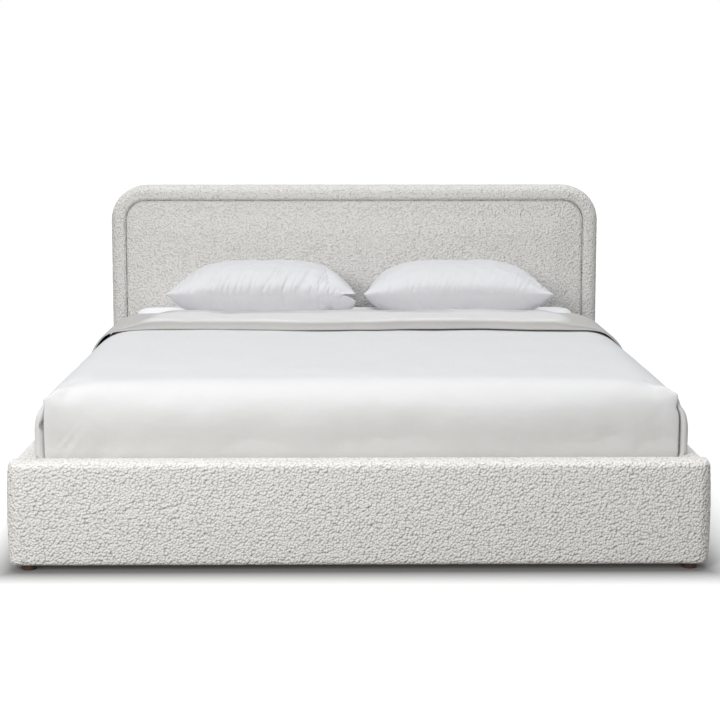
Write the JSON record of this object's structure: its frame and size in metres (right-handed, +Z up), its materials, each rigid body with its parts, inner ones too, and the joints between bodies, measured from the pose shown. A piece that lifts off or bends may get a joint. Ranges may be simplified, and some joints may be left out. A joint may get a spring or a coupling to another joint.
{
  "type": "upholstered headboard bed",
  "caption": "Low upholstered platform bed with a padded headboard, rails and footboard in looped fabric, slatted base, mattress and bedding.",
  "frame": {"origin": "on the floor, under the middle of the bed's plan outline", "axes": "+X to the right seen from the foot, +Y from the foot towards the headboard, +Z up"},
  "size_m": [2.15, 2.28, 1.075],
  "materials": {
    "boucle": "looped off-white fabric over foam",
    "plywood": "raw plywood",
    "timber": "planed softwood",
    "birch_slat": "satin laminated birch",
    "back_cloth": "woven cover over thin board",
    "black_steel": "fine-texture black powder coat",
    "zinc_steel": "zinc plated",
    "black_plastic": "moulded",
    "webbing": "woven strap",
    "dark_wood": "dark brown stain under satin lacquer",
    "ticking": "woven ticking",
    "white_cotton": "smooth white cotton",
    "duvet_cotton": "smooth light-grey cotton sateen"
  },
  "bodies": {
    "frame": {"beam_hangers": "black_steel", "bracket_bolts": "zinc_steel", "centre_beam": "black_steel", "corner_bracket_foot_left": "black_steel", "corner_bracket_foot_right": "black_steel", "corner_bracket_head_left": "black_steel", "corner_bracket_head_right": "black_steel", "foot_front_left": "dark_wood", "foot_front_right": "dark_wood", "foot_rear_left": "dark_wood", "foot_rear_right": "dark_wood", "foot_studs": "zinc_steel", "footboard_battens": "timber", "footboard_cover": "boucle", "footboard_skins": "plywood", "headboard_back_board": "back_cloth", "headboard_border": "boucle", "headboard_centre_pad": "boucle", "headboard_mount_blocks": "timber", "headboard_panel": "plywood", "headboard_stiles": "timber", "ledger_screws": "zinc_steel", "left_rail_battens": "timber", "left_rail_cover": "boucle", "left_rail_skins": "plywood", "left_slat_ledger": "timber", "leg_bolts": "zinc_steel", "leg_plugs": "black_plastic", "right_rail_battens": "timber", "right_rail_cover": "boucle", "right_rail_skins": "plywood", "right_slat_ledger": "timber", "slat_01": "birch_slat", "slat_02": "birch_slat", "slat_03": "birch_slat", "slat_04": "birch_slat", "slat_05": "birch_slat", "slat_06": "birch_slat", "slat_07": "birch_slat", "slat_08": "birch_slat", "slat_09": "birch_slat", "slat_10": "birch_slat", "slat_11": "birch_slat", "slat_12": "birch_slat", "slat_13": "birch_slat", "slat_14": "birch_slat", "slat_straps": "webbing", "support_leg_1": "black_steel", "support_leg_2": "black_steel", "support_leg_3": "black_steel"},
    "mattress": {"mattress": "ticking", "fitted_sheet": "white_cotton"},
    "duvet": {"duvet": "duvet_cotton"},
    "left_pillow": {"pillow_left": "ticking", "pillowcase_left": "white_cotton"},
    "right_pillow": {"pillow_right": "ticking", "pillowcase_right": "white_cotton"},
    "glide_1": {"levelling_glide_1": "black_plastic"},
    "glide_2": {"levelling_glide_2": "black_plastic"},
    "glide_3": {"levelling_glide_3": "black_plastic"}
  },
  "joints": [
    {"name": "mattress_lift", "type": "slide", "parent": "frame", "child": "mattress", "axis": [0, 0, 1], "range_m": [0, 0.45]},
    {"name": "duvet_lift", "type": "slide", "parent": "mattress", "child": "duvet", "axis": [0, 0, 1], "range_m": [0, 0.45]},
    {"name": "left_pillow_lift", "type": "slide", "parent": "mattress", "child": "left_pillow", "axis": [0, 0, 1], "range_m": [0, 0.4]},
    {"name": "right_pillow_lift", "type": "slide", "parent": "mattress", "child": "right_pillow", "axis": [0, 0, 1], "range_m": [0, 0.4]},
    {"name": "glide_1_travel", "type": "slide", "parent": "frame", "child": "glide_1", "axis": [0, 0, -1], "range_m": [0, 0.015]},
    {"name": "glide_2_travel", "type": "slide", "parent": "frame", "child": "glide_2", "axis": [0, 0, -1], "range_m": [0, 0.015]},
    {"name": "glide_3_travel", "type": "slide", "parent": "frame", "child": "glide_3", "axis": [0, 0, -1], "range_m": [0, 0.015]}
  ]
}
